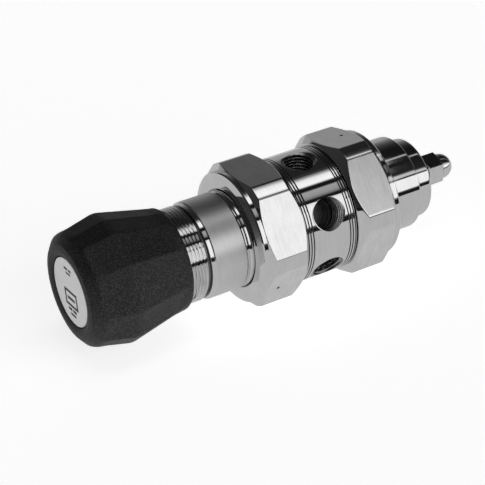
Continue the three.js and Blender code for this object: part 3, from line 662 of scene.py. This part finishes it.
def make_cap_nut(name, node, side, outer, face_bore, corner_clock, vent_clock):
    near, far = span(node)
    bore = [(far - 0.3, face_bore), (NUT_SHOULDER, face_bore), (NUT_SHOULDER, NUT_BORE)]
    outline = [(near, NUT_BORE), *outer, *bore]
    outline = spaced(rounded(outline, 0.15, 4), 0.3)
    shape = six_flats(ACROSS_FLATS, corner_clock, 0.18)
    nut = revolve(name, outline, side, 720, shape)
    hole = [(NUT_BORE - 1, VENT_RADIUS, 0), (LAND_RADIUS, VENT_RADIUS, 0)]
    vent = radial_solid("vent", hole, vent_clock, side * VENT_REACH, 32)
    paint(nut, materials["polished_steel"], materials["brushed_steel"])
    # the vent hole's wall gets the near-black steel as painted shade
    drill(nut, [vent], "painted_deep_shade_steel")
    smooth(nut, 40)
    finish_piece(nut, node, "root", "brushed_steel")


def make_second_nut():
    near, far = span("second_stage_cap_nut")
    hub = 26.7
    outer = [
        (near, 26.5), (near + 2.4, LAND_RADIUS, 0.3), (27.75, LAND_RADIUS, 0.25), (29.2, hub, 0.3),
        (30.8, hub, 0.2), (31.3, hub - 0.5, 0.2), (far, 23.4), (far, 20.4),
    ]
    corner = 30 + NUT_TWIST
    make_cap_nut("second_stage_hex_nut", "second_stage_cap_nut", SECOND, outer, 20.02, corner, corner + 90)


def make_first_nut():
    near, far = span("first_stage_cap_nut")
    hub = 26.3
    outer = [
        (near, 26.0), (near + 3.2, LAND_RADIUS, 0.3), (27.0, LAND_RADIUS, 0.25), (28.95, hub + 0.4, 0.2),
        (29.4, hub, 0.2), (31.4, hub, 0.25), (far, hub - 0.6, 0.2),
    ]
    corner = 30 - NUT_TWIST
    make_cap_nut("first_stage_hex_nut", "first_stage_cap_nut", FIRST, outer, 19.7, corner, corner - 30)


# ---------------------------------------------------------------- bonnets


def panel_thread(start, end, crest, depth):
    """A shape function that winds a right-hand thread between two reaches on the second-stage side."""

    def shape(reach, radii, clocks):
        inside = (start <= reach <= end) and radii[0] > crest - 0.2
        if not inside:
            return radii, np.zeros(len(radii), bool)
        run_out = min(1.0, (end - reach) / 0.8 + 0.25)
        form = thread_form(-reach / PITCH - clocks / (2 * math.pi))
        return crest - depth * (1 - form) * run_out, np.zeros(len(radii), bool)

    return shape


def make_second_bonnet():
    near, far = span("second_stage_bonnet")
    cylinder, crest, flange = 19.62, 19.05, 22.4
    ring_end, step, relief = 35.2, 48.2, 51.8
    bore, wall, stem_bore = 15.8, far - 8, 4.76
    outline = rounded([
        (near, bore), (near, flange), (near + 3.7, flange), (near + 3.7, cylinder, 0),
        (32.6, cylinder, 0), (33.4, cylinder - 0.35, 0.3),
        (34.6, cylinder - 0.35, 0.3), (ring_end, cylinder, 0.1),
        (step, cylinder, 0.1), (step + 0.3, crest + 0.1, 0.1), (step + 1.8, crest - 0.2, 0.15),
        (step + 1.9, crest - 1.9, 0.1), (relief - 0.5, crest - 1.9, 0.2),
    ])
    thread_start, thread_end = relief - 0.3, far - 0.8
    points_per_turn, depth = 14, 0.86
    points = int((thread_end - thread_start) / PITCH * points_per_turn)
    outline += [
        (thread_start + (thread_end - thread_start) * k / points, crest) for k in range(points + 1)
    ]
    outline += rounded([
        (far - 0.75, crest - 0.3), (far, crest - 1.1), (far, stem_bore), (wall, stem_bore), (wall, bore),
    ])
    thread = panel_thread(thread_start, thread_end, crest, depth)
    bonnet = revolve("threaded_bonnet", outline, SECOND, ROUND, thread)
    paint(bonnet, *[materials[look] for look in ("polished_steel", "satin_steel", "painted_shade_steel")])
    cover(bonnet, ring_end, step - 0.1, cylinder - 0.1, cylinder + 1, 1, SECOND)
    # the thread relief groove gets the darker steel as painted shade
    cover(bonnet, step + 1.8, relief - 0.2, crest - 3, crest - 0.9, 2, SECOND)
    smooth(bonnet, 40)
    finish_piece(bonnet, "second_stage_bonnet", "root", "polished_steel")


def make_first_bonnet():
    near, far = span("first_stage_bonnet")
    flange, cylinder, nose, step = 22.4, 19.3, 16.6, 47.05
    bore, nose_bore, nose_bore_reach, wall, hole = 15.5, 12.6, 44.0, far - 3.8, 4.2
    outline = rounded([
        (near, bore), (near, flange), (near + 3.7, flange), (near + 3.7, cylinder),
        (step, cylinder, 0.8), (step, nose - 0.35, 0.1),
        (step + 0.8, nose - 0.35, 0.1), (step + 0.9, nose, 0.1),
        (far, nose, 1.5), (far, hole), (wall, hole), (wall, nose_bore),
        (nose_bore_reach, nose_bore), (nose_bore_reach, bore),
    ], 0.15, 8)
    bonnet = revolve("preset_bonnet", outline, FIRST)
    smooth(bonnet, 40)
    finish_piece(bonnet, "first_stage_bonnet", "root", "polished_steel", "polished_steel")


# ---------------------------------------------------------------- preset screw's nuts

ACORN_FLATS = 12.7
ACORN_CLOCK = 59.4
SCREW_HOLE = 4.2
WASHER_RADIUS = 7.2


def make_jam_nut():
    near, far = span("jam_nut")
    corner = ACORN_FLATS / 2 / math.cos(math.radians(30))
    outline = [
        (near, SCREW_HOLE), (near, corner - 0.75), (near + 0.45, corner), (far - 0.45, corner),
        (far, corner - 0.75), (far, SCREW_HOLE),
    ]
    outline = spaced(rounded(outline, 0.1, 3), 0.15)
    nut = revolve("lock_nut", outline, FIRST, 360, six_flats(ACORN_FLATS, ACORN_CLOCK, 0.12))
    smooth(nut, 40)
    finish_piece(nut, "jam_nut", "root", "polished_steel", "polished_steel", "polished_steel")


def make_acorn_nut():
    near, far = span("acorn_nut")
    corner = ACORN_FLATS / 2 / math.cos(math.radians(30))
    hex_end, dome = near + 7.3, 5.3
    centre = far - dome
    hole_end = near + 10.0
    outline = [
        (hole_end, 0, 0), (hole_end, SCREW_HOLE), (near, SCREW_HOLE), (near, corner - 0.75),
        (near + 0.45, corner), (hex_end - 0.9, corner, 0.15), (hex_end, dome + 0.5, 0.1),
        (hex_end, dome - 0.3, 0.05), (hex_end + 0.6, dome - 0.3, 0.1), (hex_end + 0.8, dome, 0.1),
    ]
    outline = rounded(outline, 0.1, 3, closed=False)
    steps = 20
    for k in range(steps):
        angle = math.pi / 2 * k / steps
        outline.append((centre + dome * math.sin(angle), dome * math.cos(angle)))
    outline.append((far, 0))
    outline = spaced(outline, 0.15, closed=False)
    nut = revolve("domed_nut", outline, FIRST, 360, six_flats(ACORN_FLATS, ACORN_CLOCK, 0.12))
    smooth(nut, 40)
    finish_piece(nut, "acorn_nut", "root", "polished_steel", "polished_steel", "polished_steel")


def make_washer():
    near, far = span("seal_washer")
    outline = rounded([
        (near, SCREW_HOLE), (near, WASHER_RADIUS, 0.3), (far, WASHER_RADIUS, 0.3), (far, SCREW_HOLE),
    ])
    washer = revolve("rubber_washer", outline, FIRST, 128)
    smooth(washer)
    finish_piece(washer, "seal_washer", "root", "black_rubber", "black_rubber")


# ---------------------------------------------------------------- springs

SCREW_TRAVEL = 6.35
VALVE_LIFT = 0.4
# For each CAD spring: name, side, coil radius, wire, active turns, and the joint that shortens it with
# how far. Lengths are in millimetres.
SPRINGS = {
    "second_stage_range_spring":
        ("outlet_range_spring", SECOND, 11.6, 2.4, 3.0, "range_spring_travel", SCREW_TRAVEL),
    "first_stage_range_spring":
        ("preset_range_spring", FIRST, 10.3, 2.6, 2.4, None, 0),
    "second_stage_poppet_spring":
        ("outlet_valve_spring", SECOND, 3.4, 0.7, 4.0, "second_stage_valve_lift", VALVE_LIFT),
    "first_stage_poppet_spring":
        ("preset_valve_spring", FIRST, 3.4, 0.7, 4.0, "first_stage_valve_lift", VALVE_LIFT),
}


def coil_centre(share, near, far, wire, turns):
    """How far along the spring its wire's middle is, with one closed turn at each end."""
    start, end, closed = near + wire / 2, far - wire / 2, wire * 1.05
    turn = share * (turns + 2)
    rise = (end - start - 2 * closed) / turns
    return start + closed * (min(turn, 1) + max(turn - turns - 1, 0)) + rise * min(max(turn - 1, 0), turns)


def make_spring(node, name, side, radius, wire, turns, joint, travel):
    near, far = span(node)
    steps, sides = int(48 * (turns + 2)), 16
    work = bmesh.new()
    rings = []
    for i in range(steps + 1):
        share = i / steps
        reach = coil_centre(share, near, far, wire, turns)
        clock = 2 * math.pi * (turns + 2) * share
        rings.append([
            work.verts.new(axial_point(
                side,
                reach + wire / 2 * math.cos(2 * math.pi * k / sides),
                radius + wire / 2 * math.sin(2 * math.pi * k / sides),
                clock,
            ))
            for k in range(sides)
        ])
    for one, two in zip(rings, rings[1:]):
        for k in range(sides):
            work.faces.new((one[k], one[(k + 1) % sides], two[(k + 1) % sides], two[k]))
    work.faces.new(rings[0][::-1])
    work.faces.new(rings[-1])
    bmesh.ops.recalc_face_normals(work, faces=work.faces)
    mesh = bpy.data.meshes.new(name)
    work.to_mesh(mesh)
    work.free()
    spring = mesh_object(name, mesh)
    smooth(spring, 50)
    finish_piece(spring, node, "root", "spring_steel", "spring_steel")
    if joint:
        apply_modifiers(spring)
        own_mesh(spring)


# ---------------------------------------------------------------- hand knob

LOBES = 5
WIDE_ARC = 30.7
WIDE_CLOCK = 39.65
RIDGE = 26.1  # radius at the edges of each wide face
SMALL_RIDGE = 25.6  # radius where two narrow faces meet


def direction(degrees):
    return np.array([math.cos(math.radians(degrees)), math.sin(math.radians(degrees))])


def knob_section(clocks):
    """Radius of the knob's widest section at each clock angle, as a share of its ridges' radius."""
    pitch = 360 / LOBES
    half_wide = WIDE_ARC / 2
    away = (np.degrees(clocks) - WIDE_CLOCK) % pitch
    away = np.minimum(away, pitch - away)
    wide = math.cos(math.radians(half_wide)) / np.cos(np.radians(away))
    edge = direction(half_wide)
    small = SMALL_RIDGE / RIDGE * direction(pitch / 2)
    along = small - edge
    normal = np.array([along[1], -along[0]]) / np.linalg.norm(along)
    narrow = (normal @ edge) / (normal[0] * np.cos(np.radians(away)) + normal[1] * np.sin(np.radians(away)))
    hollow = 0.006 * np.cos(np.radians(np.clip(away / half_wide, 0, 1) * 90))
    return smooth_least(wide - hollow, narrow, 0.014)


def knob_outline(near, far):
    """Radius of the ridges along the knob, front cap and rear cavity, as (reach, radius)."""
    kink = 84.1
    label_recess, head_hole, hub_hole, cavity_radius = 14.3, 5.7, 8.3, 19.45
    side = [(near, 20.0), (near + 0.8, 20.55, 0.5), (kink, RIDGE, 9.0), (98.0, 22.8, 5.0)]
    front = [
        (far - 0.35, 18.9, 1.6), (far, 16.7, 1.2), (far - 0.25, 15.4, 0.5), (far - 0.7, label_recess, 0.15),
    ]
    label_floor, head_floor, cavity_floor = 99.4, 94.95, 73.25
    inside = [
        (label_floor, label_recess), (label_floor, head_hole), (head_floor, head_hole),
        (head_floor, hub_hole), (cavity_floor, hub_hole), (cavity_floor, cavity_radius), (near, cavity_radius),
    ]
    return side + front + inside


def knob_shape(near, far):
    """A shape function that gives the knob its lobes and lets them fade out towards both ends."""

    def shape(reach, radii, clocks):
        section = knob_section(clocks)
        front = np.clip((far - reach - 0.6) / 7.5, 0, 1)
        rear = np.clip((reach - near - 0.2) / 6.0, 0, 1)
        strength = front * front * (3 - 2 * front) * rear * rear * (3 - 2 * rear)
        outside = radii[0] > 19.6
        lobed = radii * (1 - strength * (1 - section)) if outside else radii
        return lobed, np.zeros(len(radii), bool)

    return shape


def make_knob():
    near, far = span("knob")
    outline = spaced(rounded(knob_outline(near, far), 0.2, 8), 0.5)
    knob = revolve("hand_knob", outline, SECOND, 720, knob_shape(near, far))
    smooth(knob, 50)
    finish_piece(knob, "knob", "adjuster", "black_plastic", "black_plastic")


# ---------------------------------------------------------------- label disc

LABEL_RADIUS = 13.8


def make_label():
    near, far = span("knob_label_disc")
    outline = [(near, 0, 0), (near, LABEL_RADIUS, 0.1), (far, LABEL_RADIUS, 0.15), (far, 0, 0)]
    outline = rounded(outline, closed=False)
    disc = revolve("label_disc", outline, SECOND, 192)
    smooth(disc)
    finish_piece(disc, "knob_label_disc", "adjuster", "silver_label", "silver_label")
    make_marks(far)


def bar_mark(work, face, across, up, width, height):
    """A thin raised bar on the label, placed by its middle, as someone facing the knob sees it."""
    corners = []
    for reach in (face, face + 0.03):
        for u, v in ((-1, -1), (1, -1), (1, 1), (-1, 1)):
            y, z = -(across + u * width / 2), up + v * height / 2
            corners.append(work.verts.new((mid_x - reach * MM, y * MM, z * MM)))
    for face_corners in ((0, 1, 2, 3), (4, 5, 6, 7), (0, 1, 5, 4), (1, 2, 6, 5), (2, 3, 7, 6), (3, 0, 4, 7)):
        work.faces.new([corners[i] for i in face_corners])


def make_marks(face):
    """Plain marks: a frame with a bar in it, and rows of short bars above and below."""
    work = bmesh.new()
    base = face - 0.01
    line, wide, high, middle = 1.1, 10.6, 6.0, -3.0
    for across, up, width, height in (
        (0, middle + high / 2, wide, line), (0, middle - high / 2, wide, line),
        (wide / 2 - line / 2, middle, line, high - line), (line / 2 - wide / 2, middle, line, high - line),
        (0, middle, wide * 0.6, 1.2), (-1.4, 9.6, 3.0, 1.0), (1.9, 9.6, 2.2, 1.0), (0.2, 7.9, 3.8, 0.8),
        (-2.0, -7.9, 3.0, 1.2), (1.8, -7.9, 3.0, 1.2), (0.1, -9.9, 4.4, 1.0),
    ):
        bar_mark(work, base, across, up, width, height)
    mesh = bpy.data.meshes.new("label_marks")
    bmesh.ops.recalc_face_normals(work, faces=work.faces)
    work.to_mesh(mesh)
    work.free()
    marks = mesh_object("label_marks", mesh)
    paint(marks, materials["black_plastic"])
    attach(marks, "adjuster")


# ---------------------------------------------------------------- everything

body_low, body_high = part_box("body")
mid_x = (body_low.x + body_high.x) / 2
materials = make_materials()

for subpart in frame["record"]["subparts"]:
    paint(frame["nodes"][subpart["node"]], materials[subpart["material_slot"]])

add_camera()
add_studio()
add_floor()
add_card("grey_card", width=4.0, near=-2.0, far=2.0, height=0.0004, glow=0.56)
add_card("dark_card", width=4.0, near=-1.8, far=-0.21, height=0.0008, glow=0.01)
bpy.context.scene.view_settings.view_transform = "Standard"

make_body()
make_filter()
make_second_nut()
make_first_nut()
make_second_bonnet()
make_first_bonnet()
make_jam_nut()
make_acorn_nut()
make_washer()
for spring_node, sizes in SPRINGS.items():
    make_spring(spring_node, *sizes)
make_knob()
make_label()

bpy.context.view_layer.update()
